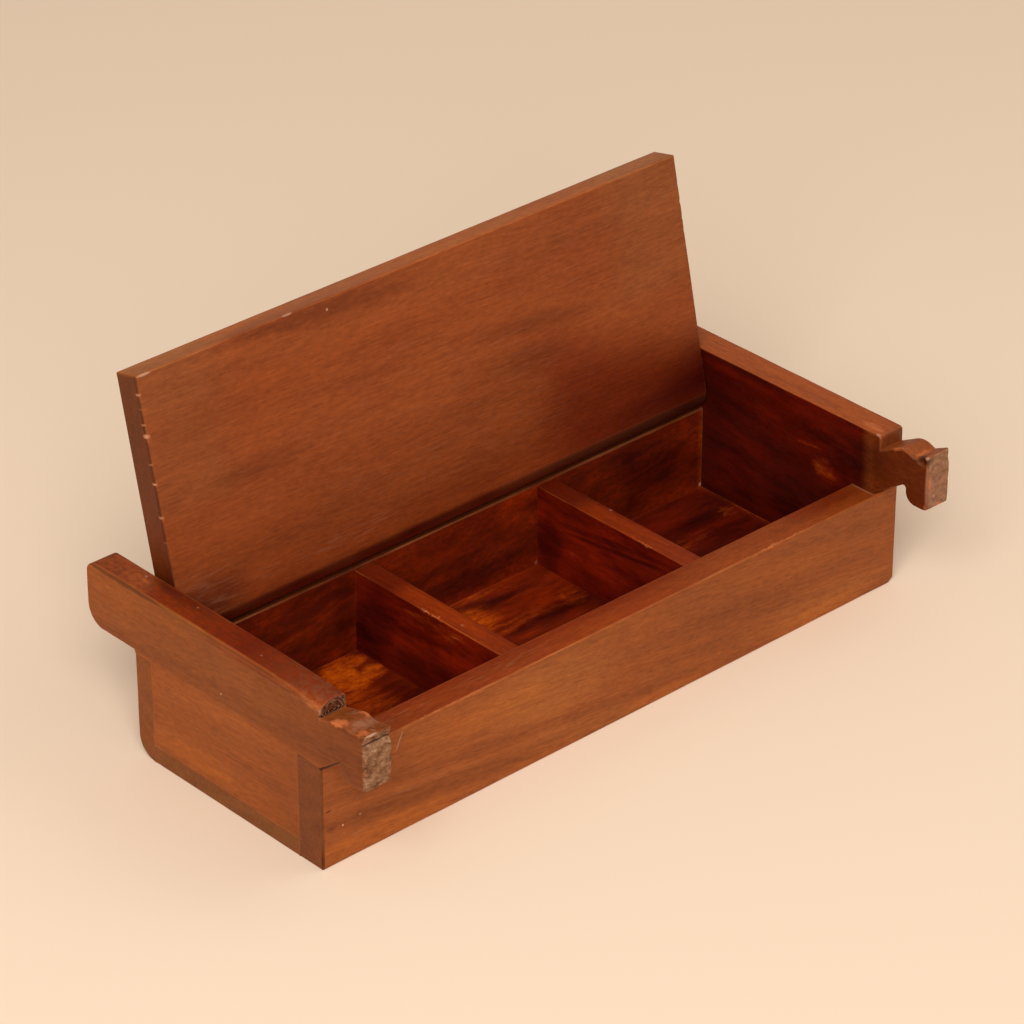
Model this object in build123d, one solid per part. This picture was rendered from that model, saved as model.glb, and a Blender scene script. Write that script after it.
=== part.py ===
"""Desk organizer with a lift lid: a long hardwood box with three bays, whose flat lid swings up
between two rails and leans back on its own heel.

Each end is one thick board. Its stem closes the box between the front and back boards, and its
rail runs over their top edges, ending in a rounded lobe behind and a carved, hooked nose in front.
The lid has no metal hinge: it turns on two wooden pins hidden in the rails.

Millimetres, +X along the box, +Y towards the back, +Z up. The origin is under the middle of the
whole object, on the surface that it stands on. The lid is modelled open, resting on its heel.
"""
from build123d import *
import os
from math import atan2, cos, pi, radians, sin, tan

# The box
BODY_LENGTH = 300.0          # over the outer faces of the end boards
BODY_DEPTH = 106.0           # over the faces of the front and back boards
BOARD_HEIGHT = 44.5          # front and back boards, from the underside to their top edges
FRONT_THICKNESS = 12.9
BACK_THICKNESS = 9.3
BOTTOM_THICKNESS = 7.6
BACK_HEEL_RADIUS = 9.0       # the back board's lower outer arris, rounded from end to end
BACK_FOOT = 0.3              # the least flat left under the back board beside that round

# The bays
LEFT_BAY_LENGTH = 87.0
MIDDLE_BAY_LENGTH = 86.2
DIVIDER_THICKNESS = 9.3
DIVIDER_DROP = 1.1           # the dividers stop this far below the boards' top edges

# The end boards
END_THICKNESS = 12.8
RAIL_HEIGHT = 27.1           # the rails stand this far above the front and back boards
LOBE_REACH = 27.8            # how far a rail overhangs the back board
LOBE_LIFT = 0.8              # how far the lobe's underside is eased up off the back board
LOBE_HEEL_RADIUS = 8.5
LOBE_TOP_RADIUS = 3.5

# The carved noses. Both are cut to one pattern by hand, and are not quite a pair.
STEP_DROP = 6.3              # the rail's top steps down by this at the root of each nose
STEP_RADIUS = 1.5
TIP_RADIUS = 0.8             # the arrises of the tip
NOTCH_DROP = 4.5             # the V notch across the tip's end grain, below its top
NOTCH_DEPTH = 1.6
NOTCH_LIP = 2.2              # from the bottom of the notch down to the full face
ARCH_RADIUS = 1.2            # the inner corner behind the hook
ROUND_SPACING = 0.3          # the least straight wall between the hook's two rounds
LEFT_NOSE_REACH = 24.9       # from the front face to the nose's tip
LEFT_STEP_REACH = 0.1        # from the front face to the step
LEFT_HOOK_WIDTH = 14.2       # the hook that hangs down at the tip, front to back
LEFT_HOOK_LIFT = 0.9         # the hook's underside, above the front board's top edge
LEFT_HOOK_RADIUS = 3.5
LEFT_ARCH_RISE = 7.2         # top of the hollow behind the hook, above the front board's top edge
LEFT_ARCH_START = 0.1        # where the hollow starts, behind the front face
LEFT_TIP_RISE = 3.6          # the tip's top, above the foot of the step
LEFT_TIP_LENGTH = 7.9        # from the tip back to the bottom of the dip behind it
LEFT_DIP_RISE = 2.4          # the bottom of the dip, above the foot of the step
LEFT_HUMP_SETBACK = 5.2      # from the dip back to the top of the hump
LEFT_HUMP_RISE = 3.5         # where the hump's slopes would meet, above the foot of the step
LEFT_HUMP_RADIUS = 8.0
RIGHT_NOSE_REACH = 26.6
RIGHT_STEP_REACH = 1.5
RIGHT_HOOK_WIDTH = 11.0
RIGHT_HOOK_LIFT = 3.8
RIGHT_HOOK_RADIUS = 5.0
RIGHT_ARCH_RISE = 11.7
RIGHT_ARCH_START = 2.5
RIGHT_TIP_RISE = 7.3
RIGHT_TIP_LENGTH = 7.6
RIGHT_DIP_RISE = 3.7
RIGHT_HUMP_SETBACK = 6.0
RIGHT_HUMP_RISE = 6.2
RIGHT_HUMP_RADIUS = 9.0

# The lid
LID_REACH = 102.6            # from the pivot to the lid's free edge
LID_THICKNESS = 11.6
LID_LEAN = 12.4              # degrees past upright when its heel is on the back board
LID_END_GAP = 0.4            # between each end of the lid and its rail
LID_CLEARANCE = 0.4          # between the closed lid and the boards' top edges
LID_EDGE_RADIUS = 0.8
LID_HEEL_RADIUS = 0.5
PIVOT_SETBACK = 6.7          # from the body's rear face to the pivot

# The pivot pins
PIN_RADIUS = 2.5
PIN_IN_RAIL = 8.0
PIN_IN_LID = 14.0
PIN_CHAMFER = 0.5
PIN_CLEARANCE = 0.05         # radial, where a pin turns in its rail
PIN_GLUE_LINE = 0.02         # radial, where a pin is glued into the lid
PIN_END_CLEARANCE = 0.4      # beyond the pin's end, in both bores

# Places that follow from the sizes
front_face = max(LEFT_NOSE_REACH, RIGHT_NOSE_REACH) - (
    max(LEFT_NOSE_REACH, RIGHT_NOSE_REACH) + BODY_DEPTH + LOBE_REACH) / 2
rear_face = front_face + BODY_DEPTH
bay_front = front_face + FRONT_THICKNESS
bay_rear = rear_face - BACK_THICKNESS
left_face = -BODY_LENGTH / 2
left_inside = left_face + END_THICKNESS
right_inside = BODY_LENGTH / 2 - END_THICKNESS
rail_top = BOARD_HEIGHT + RAIL_HEIGHT
step_foot = rail_top - STEP_DROP
pivot_y = rear_face - PIVOT_SETBACK
pivot_z = BOARD_HEIGHT + LID_CLEARANCE + LID_THICKNESS / 2


def side_profile(corners):
    """A face in the Y-Z plane with the given corners, each (y, z, corner radius)."""
    points = [(y, z) for y, z, _ in corners]
    radii = [radius for _, _, radius in corners]
    return Plane.YZ * make_face(FilletPolyline(*points, radius=radii, close=True).edges())


def board(x, y, z, length, depth, height):
    """A squared board, placed by its left, front, bottom corner."""
    return Pos(x, y, z) * Box(length, depth, height, align=(Align.MIN, Align.MIN, Align.MIN))


def bore(x, radius, depth):
    """The space of a round hole along +X on the pivot's axis, starting at x."""
    upright = Cylinder(radius, depth, align=(Align.CENTER, Align.CENTER, Align.MIN))
    return Pos(x, pivot_y, pivot_z) * Rot(0, 90, 0) * upright


def nose_corners(reach, step_reach, hook_width, hook_lift, hook_radius, arch_rise, arch_start,
                 tip_rise, tip_length, dip_rise, hump_setback, hump_rise, hump_radius):
    """The nose's corners, from the top of the step forward, round the tip and hook and back."""
    step = front_face - step_reach
    tip = front_face - reach
    tip_top = step_foot + tip_rise
    dip = tip + tip_length
    hook_back = tip + hook_width
    hook_base = BOARD_HEIGHT + hook_lift
    arch_top = BOARD_HEIGHT + arch_rise
    arch_root = front_face + arch_start
    # the hollow's top corner takes this much of the wall behind the hook, and the round below
    # it takes no more than what is left
    half_turn = (pi / 2 + atan2(arch_rise, arch_root - hook_back)) / 2
    hook_wall = arch_top - hook_base - ARCH_RADIUS * tan(half_turn) - ROUND_SPACING
    return [
        (step, rail_top, STEP_RADIUS),
        (step, step_foot, 0),
        (dip + hump_setback, step_foot + hump_rise, hump_radius),
        (dip, step_foot + dip_rise, 0),
        (tip, tip_top, TIP_RADIUS),
        (tip + NOTCH_DEPTH, tip_top - NOTCH_DROP, 0),
        (tip, tip_top - NOTCH_DROP - NOTCH_LIP, TIP_RADIUS),
        (tip, hook_base, TIP_RADIUS),
        (hook_back, hook_base, min(hook_radius, hook_wall)),
        (hook_back, arch_top, ARCH_RADIUS),
        (arch_root, BOARD_HEIGHT, 0),
    ]


def end_board(x, nose):
    """An end board, cut to its side profile: the stem below, the rail with lobe and nose above."""
    stem_and_lobe = [
        (bay_front, BOARD_HEIGHT, 0),
        (bay_front, BOTTOM_THICKNESS, 0),
        (bay_rear, BOTTOM_THICKNESS, 0),
        (bay_rear, BOARD_HEIGHT, 0),
        (rear_face, BOARD_HEIGHT, 0),
        (rear_face + LOBE_LIFT, BOARD_HEIGHT + LOBE_LIFT, 0),
        (rear_face + LOBE_REACH, BOARD_HEIGHT + LOBE_LIFT, LOBE_HEEL_RADIUS),
        (rear_face + LOBE_REACH, rail_top, LOBE_TOP_RADIUS),
    ]
    return Pos(x, 0, 0) * extrude(side_profile(stem_and_lobe + nose), END_THICKNESS, dir=(1, 0, 0))


# End boards, each with a blind bore in the inner face of its rail for the lid's pin
pin_hole = PIN_RADIUS + PIN_CLEARANCE
hole_depth = PIN_IN_RAIL + PIN_END_CLEARANCE
left_nose = nose_corners(
    LEFT_NOSE_REACH, LEFT_STEP_REACH, LEFT_HOOK_WIDTH, LEFT_HOOK_LIFT, LEFT_HOOK_RADIUS,
    LEFT_ARCH_RISE, LEFT_ARCH_START, LEFT_TIP_RISE, LEFT_TIP_LENGTH, LEFT_DIP_RISE,
    LEFT_HUMP_SETBACK, LEFT_HUMP_RISE, LEFT_HUMP_RADIUS)
right_nose = nose_corners(
    RIGHT_NOSE_REACH, RIGHT_STEP_REACH, RIGHT_HOOK_WIDTH, RIGHT_HOOK_LIFT, RIGHT_HOOK_RADIUS,
    RIGHT_ARCH_RISE, RIGHT_ARCH_START, RIGHT_TIP_RISE, RIGHT_TIP_LENGTH, RIGHT_DIP_RISE,
    RIGHT_HUMP_SETBACK, RIGHT_HUMP_RISE, RIGHT_HUMP_RADIUS)
left_end_board = end_board(left_face, left_nose) - bore(
    left_inside - hole_depth, pin_hole, hole_depth)
right_end_board = end_board(right_inside, right_nose) - bore(right_inside, pin_hole, hole_depth)

# Front, back and bottom boards run the whole length, so their end grain shows on the end faces
front_board = board(left_face, front_face, 0, BODY_LENGTH, FRONT_THICKNESS, BOARD_HEIGHT)
back_section = side_profile([
    (bay_rear, 0, 0),
    (rear_face, 0, min(BACK_HEEL_RADIUS, BACK_THICKNESS - BACK_FOOT)),
    (rear_face, BOARD_HEIGHT, 0),
    (bay_rear, BOARD_HEIGHT, 0),
])
back_board = Pos(left_face, 0, 0) * extrude(back_section, BODY_LENGTH, dir=(1, 0, 0))
bottom_board = board(
    left_face, bay_front, 0, BODY_LENGTH, bay_rear - bay_front, BOTTOM_THICKNESS)

# Dividers stand on the bottom board and butt against the front and back boards
divider_height = BOARD_HEIGHT - DIVIDER_DROP - BOTTOM_THICKNESS
left_divider_x = left_inside + LEFT_BAY_LENGTH
right_divider_x = left_divider_x + DIVIDER_THICKNESS + MIDDLE_BAY_LENGTH


def divider(x):
    return board(
        x, bay_front, BOTTOM_THICKNESS, DIVIDER_THICKNESS, bay_rear - bay_front, divider_height)


left_divider = divider(left_divider_x)
right_divider = divider(right_divider_x)

# The lid's section, along the lid from the pivot and across its thickness. Its lower edge is
# rounded about the pivot, so that it turns close over the back board, and the stop is a flat on
# the outer half of that edge, which is level when the lid leans back.
lean = radians(LID_LEAN)
half_lid = LID_THICKNESS / 2
lid_section = [
    (LID_REACH, -half_lid, LID_EDGE_RADIUS),
    (-half_lid * (1 + sin(lean)) / cos(lean), -half_lid, half_lid),
    (-half_lid * (1 - sin(lean)) / cos(lean), half_lid, LID_HEEL_RADIUS),
    (LID_REACH, half_lid, LID_EDGE_RADIUS),
]
lid_plane = Plane(origin=(0, pivot_y, pivot_z), x_dir=(0, sin(lean), cos(lean)), z_dir=(-1, 0, 0))
lid_face = lid_plane * make_face(FilletPolyline(
    *[(along, across) for along, across, _ in lid_section],
    radius=[radius for _, _, radius in lid_section], close=True).edges())
lid_left = left_inside + LID_END_GAP
lid_right = right_inside - LID_END_GAP
socket_depth = PIN_IN_LID + PIN_END_CLEARANCE
socket_radius = PIN_RADIUS + PIN_GLUE_LINE
lid = Pos((lid_left + lid_right) / 2, 0, 0) * extrude(
    lid_face, (lid_right - lid_left) / 2, both=True)
lid = lid - bore(lid_left, socket_radius, socket_depth) - bore(
    lid_right - socket_depth, socket_radius, socket_depth)

# Pins, glued into the lid's ends and free to turn in the rails
pin_length = PIN_IN_RAIL + LID_END_GAP + PIN_IN_LID


def pivot_pin(x):
    pin = bore(x, PIN_RADIUS, pin_length)
    return chamfer(pin.edges().filter_by(GeomType.CIRCLE), PIN_CHAMFER)


left_pivot_pin = pivot_pin(left_inside - PIN_IN_RAIL)
right_pivot_pin = pivot_pin(lid_right - PIN_IN_LID)

nodes = {
    "left_end_board": left_end_board,
    "right_end_board": right_end_board,
    "front_board": front_board,
    "back_board": back_board,
    "bottom_board": bottom_board,
    "left_divider": left_divider,
    "right_divider": right_divider,
    "lid": lid,
    "left_pivot_pin": left_pivot_pin,
    "right_pivot_pin": right_pivot_pin,
}
os.makedirs("parts", exist_ok=True)
for name, solid in nodes.items():
    export_step(solid, f"parts/{name}.step")
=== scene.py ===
"""A hardwood desk box with three bays and a lid that swings up between two carved rails.

Every board is dressed from its own CAD solid: its section is kept, and its arrises are eased,
worn and nicked as hand-planed boards are. Metres, +X along the box, +Y to the back, +Z up.
"""
from math import cos, exp, pi, radians, sin, sqrt, tan

import bmesh
import bpy
import numpy as np
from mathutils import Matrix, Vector, noise
from mathutils.bvhtree import BVHTree


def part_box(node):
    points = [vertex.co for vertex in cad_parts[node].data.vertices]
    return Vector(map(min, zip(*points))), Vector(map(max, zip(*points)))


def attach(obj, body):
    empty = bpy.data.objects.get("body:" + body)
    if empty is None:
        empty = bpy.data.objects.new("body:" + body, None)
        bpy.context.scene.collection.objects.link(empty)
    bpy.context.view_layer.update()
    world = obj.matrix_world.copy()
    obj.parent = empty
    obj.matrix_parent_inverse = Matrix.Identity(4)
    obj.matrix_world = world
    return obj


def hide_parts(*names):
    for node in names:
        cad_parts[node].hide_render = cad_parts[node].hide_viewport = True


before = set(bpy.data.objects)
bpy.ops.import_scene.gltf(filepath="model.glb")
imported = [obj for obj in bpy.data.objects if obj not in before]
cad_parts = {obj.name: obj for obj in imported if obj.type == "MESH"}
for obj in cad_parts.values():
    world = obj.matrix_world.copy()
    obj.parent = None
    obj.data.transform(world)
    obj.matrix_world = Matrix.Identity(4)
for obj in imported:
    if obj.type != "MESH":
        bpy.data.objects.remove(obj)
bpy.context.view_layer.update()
MM = 0.001

# --- Camera ---------------------------------------------------------------------------------
# A long lens, high over the box's front left corner, so that the bays and the lid both show.
CAMERA_AIM = Vector((0.01224, 0.02195, 0.05379))
CAMERA_DISTANCE = 1.7394
CAMERA_AZIMUTH = radians(-42.573)
CAMERA_ELEVATION = radians(30.284)
CAMERA_LENS = 157.8


def seen_from(azimuth, elevation):
    """The direction from a subject to a viewer. Azimuth 0 stands in front of the box."""
    return Vector((sin(azimuth) * cos(elevation), -cos(azimuth) * cos(elevation), sin(elevation)))


def aim(thing, target):
    thing.rotation_euler = (target - thing.location).to_track_quat("-Z", "Y").to_euler()


def placed(name, data):
    """A new object in the scene."""
    thing = bpy.data.objects.new(name, data)
    bpy.context.scene.collection.objects.link(thing)
    return thing


camera = placed("camera", bpy.data.cameras.new("camera"))
camera.data.lens = CAMERA_LENS
camera.location = CAMERA_AIM + CAMERA_DISTANCE * seen_from(CAMERA_AZIMUTH, CAMERA_ELEVATION)
aim(camera, CAMERA_AIM)
bpy.context.scene.camera = camera
bpy.context.scene.view_settings.view_transform = "Standard"

# --- Studio ---------------------------------------------------------------------------------
# A plain pale floor, a big soft lamp over the camera's left shoulder and a weak one behind.
FLOOR_SIZE = 30.0
FLOOR_TONE = (0.86, 0.66, 0.49, 1)
FLOOR_ROUGHNESS = 0.9
SKY_TONE = (1.0, 0.93, 0.83, 1)
SKY_STRENGTH = 0.45
KEY_SIZE = 1.6
KEY_POWER = 60.0
KEY_DISTANCE = 2.5
FILL_SIZE = 1.6
FILL_POWER = 9.0
FILL_DISTANCE = 2.6

floor_mesh = bpy.data.meshes.new("studio_floor")
half = FLOOR_SIZE / 2
floor_mesh.from_pydata([(-half, -half, 0), (half, -half, 0), (half, half, 0), (-half, half, 0)],
                       [], [(0, 1, 2, 3)])
floor = placed("studio_floor", floor_mesh)
floor_finish = bpy.data.materials.new("pale_floor")
floor_finish.use_nodes = True
floor_surface = floor_finish.node_tree.nodes["Principled BSDF"]
floor_surface.inputs["Base Color"].default_value = FLOOR_TONE
floor_surface.inputs["Roughness"].default_value = FLOOR_ROUGHNESS
floor_mesh.materials.append(floor_finish)

world = bpy.data.worlds.new("studio")
world.use_nodes = True
world.node_tree.nodes["Background"].inputs["Color"].default_value = SKY_TONE
world.node_tree.nodes["Background"].inputs["Strength"].default_value = SKY_STRENGTH
bpy.context.scene.world = world


def soft_lamp(name, size, power, distance, azimuth, elevation):
    """A square softbox that looks at the middle of the box."""
    lamp = placed(name, bpy.data.lights.new(name, "AREA"))
    lamp.data.size = size
    lamp.data.energy = power
    lamp.location = CAMERA_AIM + distance * seen_from(radians(azimuth), radians(elevation))
    aim(lamp, CAMERA_AIM)


soft_lamp("key_lamp", KEY_SIZE, KEY_POWER, KEY_DISTANCE, azimuth=-48, elevation=38)
soft_lamp("fill_lamp", FILL_SIZE, FILL_POWER, FILL_DISTANCE, azimuth=60, elevation=45)

# --- Front board ----------------------------------------------------------------------------
# One thick plank of red-brown hardwood along the box's front, with the grain along it, planed
# and oiled. It is glued to the bottom board and the end boards' stems, and handling has rounded
# its free arrises.
X, Y, Z = 0, 1, 2
CASE_BOARDS = ("left_end_board", "right_end_board", "front_board", "back_board",
               "bottom_board", "left_divider", "right_divider")
SAME_POINT = 0.001 * MM
SAME_LEVEL = 0.01 * MM
ARC_STEPS = 4                # facets round an eased arris
SUPPORT = 0.6 * MM           # a flat margin beside each arris, so that it shades crisply
SHARP_TURN = radians(25)     # an outline turns this much at a true corner
CONCAVE_ROUND = 0.15 * MM
JOINT_ROUND = 0.14 * MM      # an arris that lies against another board keeps its edge
JOINT_GAP = 0.25 * MM
ARRIS_ROOM = 0.8             # how much of a section's room a worn end arris may take
END_RINGS = ((0.6, 0.86), (2.0, 0.91), (3.4, 0.96))   # mm inside the arris, share of the room
END_MARGIN = 2.2 * MM        # the first full section stands this far inside an end
END_GAP = 0.8 * MM           # and a few more follow closely, so that the arris bends smoothly
END_SECTIONS = 5
CREASE = radians(40)


def cross_axes(along):
    """The two axes of a board's section, right-handed about the axis that it runs along."""
    return (along + 1) % 3, (along + 2) % 3


def section_of(node, along):
    """The outline of a CAD board's lower end face, counter-clockwise about the board's axis."""
    b, c = cross_axes(along)
    shape = bmesh.new()
    shape.from_mesh(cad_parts[node].data)
    bmesh.ops.remove_doubles(shape, verts=shape.verts, dist=SAME_POINT)
    end = min(v.co[along] for v in shape.verts)
    faces = [f for f in shape.faces if all(abs(v.co[along] - end) < SAME_LEVEL for v in f.verts)]
    edges = [e for f in faces for e in f.edges]
    border = {e for e in edges if edges.count(e) == 1}
    loops = []
    while border:
        first = border.pop()
        loop = [first.verts[0], first.verts[1]]
        while loop[-1] is not loop[0]:
            link = next(e for e in loop[-1].link_edges if e in border)
            border.remove(link)
            loop.append(link.other_vert(loop[-1]))
        loops.append([Vector((v.co[b], v.co[c])) for v in loop[:-1]])
    shape.free()

    def area(loop):
        return sum(p.x * q.y - q.x * p.y for p, q in zip(loop, loop[1:] + loop[:1])) / 2

    outline = max(loops, key=lambda loop: abs(area(loop)))
    if area(outline) < 0:
        outline = outline[::-1]
    start = min(range(len(outline)), key=lambda i: (round(outline[i].x, 6), outline[i].y))
    return outline[start:] + outline[:start]


def turn_at(outline, i):
    """The signed turn at an outline's corner, positive where the board is convex."""
    into = outline[i] - outline[i - 1]
    out_of = outline[(i + 1) % len(outline)] - outline[i]
    return -into.angle_signed(out_of)


def outward(step):
    """The outward normal of a step along a counter-clockwise outline."""
    return Vector((step.y, -step.x)).normalized()


def eased_ring(outline, radius_at, gap):
    """One ring round a section: its points, outward normals and arris flags.

    True corners become arcs of radius_at(corner). Runs keep as many points on every ring, so
    rings of different radii can be joined.
    """
    arcs = []
    for i, corner in enumerate(outline):
        turn = turn_at(outline, i)
        into = (corner - outline[i - 1]).normalized()
        out_of = (outline[(i + 1) % len(outline)] - corner).normalized()
        if abs(turn) < SHARP_TURN:
            arcs.append([(corner, (outward(into) + outward(out_of)).normalized(), 0.0)])
            continue
        radius = radius_at(corner) if turn > 0 else CONCAVE_ROUND
        reach = radius * tan(abs(turn) / 2)
        side = 1 if turn > 0 else -1
        centre = corner - into * reach - outward(into) * radius * side
        arc = []
        for k in range(ARC_STEPS + 1):
            angle = turn * k / ARC_STEPS
            n = outward(into)
            n = Vector((n.x * cos(angle) - n.y * sin(angle), n.x * sin(angle) + n.y * cos(angle)))
            arc.append((centre + n * radius * side, n, float(turn > 0)))
        arcs.append(arc)
    ring = []
    for i, arc in enumerate(arcs):
        ring += arc
        following = outline[(i + 1) % len(outline)]
        run = (following - outline[i]).length
        start, end = arc[-1][0], arcs[(i + 1) % len(arcs)][0][0]
        if run < 4 * SUPPORT:
            continue
        count = max(1, round(run / gap))
        length = (end - start).length
        margin = min(SUPPORT, length / 4)
        n = outward(end - start)
        for k in range(count + 1):
            share = (margin + (length - 2 * margin) * k / count) / length
            ring.append((start.lerp(end, share), n, 0.0))
    return tuple(np.array(part) for part in zip(*ring))


def room_inside(points, normals):
    """How far each point of a ring may move inwards before it meets one from another side."""
    gaps = points[:, None, :] - points[None, :, :]
    depth = (gaps * normals[:, None, :]).sum(axis=2)
    reach = (gaps ** 2).sum(axis=2) / np.maximum(2 * depth, 1e-12)
    return np.where(depth > 1e-7, reach, 1.0).min(axis=1)


def solid_tree(node):
    """A search tree of a CAD solid's surface."""
    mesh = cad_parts[node].data
    return BVHTree.FromPolygons([v.co for v in mesh.vertices],
                                [tuple(p.vertices) for p in mesh.polygons])


case_trees = {node: solid_tree(node) for node in CASE_BOARDS}


def wear(node, base, uneven=0.35, patch=14 * MM, nicks=(), along=None, at_ends=None):
    """How round a board's arrises are worn, as a function of a place on it.

    base is their radius, and uneven the share by which it varies from patch to patch. An arris
    that lies against another board keeps its edge. Each nick is a place, the length of arris
    that it takes and its depth. along(place) and at_ends(place) add a radius of their own to
    the arrises that run along the board and to those round its ends.
    """
    others = [tree for name, tree in case_trees.items() if name != node]

    def radius(point, end=False):
        if any(tree.find_nearest(point, JOINT_GAP)[0] is not None for tree in others):
            return JOINT_ROUND
        worn = base * (1 + uneven * noise.noise(point / patch))
        for place, length, depth in nicks:
            worn += depth * exp(-((point - place).length / length) ** 2)
        own = at_ends if end else along
        return worn + own(point) if own else worn
    return radius


def worked_board(node, along, gap, run_gap, worn, outline=None):
    """A board dressed from its CAD solid: an extrusion of its section with worn arrises.

    gap is the mesh's step along the board and run_gap its step round the section.
    """
    b, c = cross_axes(along)
    outline = outline or section_of(node, along)
    low, high = (corner[along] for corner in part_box(node))
    near = [END_MARGIN + k * END_GAP for k in range(END_SECTIONS if gap > END_GAP else 1)]
    start, end = low + near[-1], high - near[-1]
    count = max(1, round((end - start) / gap))
    middle = ([low + step for step in near[:-1]]
              + [start + (end - start) * k / count for k in range(count + 1)]
              + [high - step for step in near[:-1][::-1]])

    def place(point, level):
        spot = [0.0, 0.0, 0.0]
        spot[along], spot[b], spot[c] = level, point[0], point[1]
        return Vector(spot)

    def end_rings(level, side):
        """The rings from an end's flat face to its full section."""
        points, normals, _ = eased_ring(outline, lambda p: worn(place(p, level)), run_gap)
        room = room_inside(points, normals)
        radius = np.array([worn(place(p, level), True) for p in points])
        rings = []
        for margin, share in reversed(END_RINGS):
            inset = np.minimum(radius + margin * MM, share * room)
            rings.append((points - normals * inset[:, None], np.full(len(points), level), 0.0))
        radius = np.minimum(radius, ARRIS_ROOM * room)
        for k in range(ARC_STEPS + 1):
            angle = pi / 2 * k / ARC_STEPS
            inset = radius * (1 - sin(angle))
            rings.append((points - normals * inset[:, None],
                          level + side * radius * (1 - cos(angle)), 1.0))
        return rings

    rings = end_rings(low, 1)
    for level in middle:
        points, _, arrises = eased_ring(outline, lambda p: worn(place(p, level)), run_gap)
        rings.append((points, np.full(len(points), level), arrises))
    rings += end_rings(high, -1)[::-1]

    size = len(rings[0][0])
    spots = np.zeros((len(rings) * size, 3))
    flags = np.zeros(len(rings) * size, np.float32)
    for k, (points, levels, arrises) in enumerate(rings):
        rows = slice(k * size, (k + 1) * size)
        spots[rows, along] = levels
        spots[rows, b] = points[:, 0]
        spots[rows, c] = points[:, 1]
        flags[rows] = arrises
    faces = [tuple(reversed(range(size)))]
    for k in range(len(rings) - 1):
        for j in range(size):
            j2 = (j + 1) % size
            faces.append((k * size + j, k * size + j2, (k + 1) * size + j2, (k + 1) * size + j))
    faces.append(tuple(range((len(rings) - 1) * size, len(rings) * size)))
    name = node + "_dressed"
    mesh = bpy.data.meshes.new(name)
    mesh.from_pydata(spots.tolist(), [], faces)
    mesh.attributes.new("worn", "FLOAT", "POINT").data.foreach_set("value", flags)
    mesh.attributes.new("bare", "FLOAT", "POINT")
    return placed(name, mesh)


def settle(piece, node, body, finish):
    """Shades a finished board, gives it its wood, and puts it in its solid's place."""
    piece.data.polygons.foreach_set("use_smooth", [True] * len(piece.data.polygons))
    piece.data.set_sharp_from_angle(angle=CREASE)
    piece.data.materials.append(finish)
    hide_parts(node)
    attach(piece, body)


class Wiring:
    """Adds and links a material's nodes in short calls."""

    def __init__(self, name):
        self.material = bpy.data.materials.new(name)
        self.material.use_nodes = True
        self.tree = self.material.node_tree
        self.surface = self.tree.nodes["Principled BSDF"]

    def add(self, kind, values, result=0, **settings):
        """A node of one kind, its inputs set to numbers or joined to sockets."""
        node = self.tree.nodes.new("ShaderNode" + kind)
        for key, value in settings.items():
            setattr(node, key, value)
        for key, value in values.items():
            self.feed(node.inputs[key], value)
        return node.outputs[result]

    def feed(self, socket, value):
        if isinstance(value, bpy.types.NodeSocket):
            self.tree.links.new(value, socket)
        else:
            socket.default_value = value

    def math(self, operation, first, second=0.0, clamp=False):
        return self.add("Math", {0: first, 1: second}, operation=operation, use_clamp=clamp)

    def plus(self, first, second, clamp=False):
        return self.math("ADD", first, second, clamp)

    def minus(self, first, second):
        return self.math("SUBTRACT", first, second)

    def times(self, first, second, clamp=False):
        return self.math("MULTIPLY", first, second, clamp)

    def vector(self, operation, first, second):
        return self.add("VectorMath", {0: first, 1: second}, operation=operation)

    def stretch(self, vector, factors):
        return self.vector("MULTIPLY", vector, factors)

    def length(self, vector):
        return self.add("VectorMath", {0: vector}, "Value", operation="LENGTH")

    def noise(self, place, scale, detail, roughness=0.5, result="Fac"):
        return self.add("TexNoise", {"Vector": place, "Scale": scale, "Detail": detail,
                                     "Roughness": roughness}, result)

    def span(self, value, start, end, low=0.0, high=1.0):
        """A value's smooth climb between start and end, held at low before and high after."""
        return self.add("MapRange", {"Value": value, "From Min": start, "From Max": end,
                                     "To Min": low, "To Max": high},
                        interpolation_type="SMOOTHSTEP")

    def mix(self, share, first, second, blend="MIX"):
        return self.add("Mix", {0: share, 6: first, 7: second}, 2, data_type="RGBA",
                        blend_type=blend)

    def ramp(self, value, stops):
        node = self.tree.nodes.new("ShaderNodeValToRGB")
        points = node.color_ramp.elements
        while len(points) < len(stops):
            points.new(1.0)
        for point, (place, tone) in zip(points, stops):
            point.position = place
            point.color = (*tone, 1)
        self.feed(node.inputs[0], value)
        return node.outputs[0]


def tinted(tone, tint):
    return tuple(min(1.0, channel * share) for channel, share in zip(tone, tint))


WOOD_TONES = ((0.0, (0.085, 0.0150, 0.0020)), (0.36, (0.195, 0.0390, 0.0060)),
              (0.60, (0.285, 0.0630, 0.0105)), (1.0, (0.450, 0.1180, 0.0240)))
PORE_TINT = (0.45, 0.38, 0.40, 1)
END_GRAIN_TINT = (0.62, 0.62, 0.66, 1)
# Lighter and darker blotches of painted light and shade, within a SHADE coat.
LIGHTER_BLOTCH = (1.7, 1.8, 1.2, 1)
DARKER_BLOTCH = (0.48, 0.40, 0.50, 1)
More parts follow.
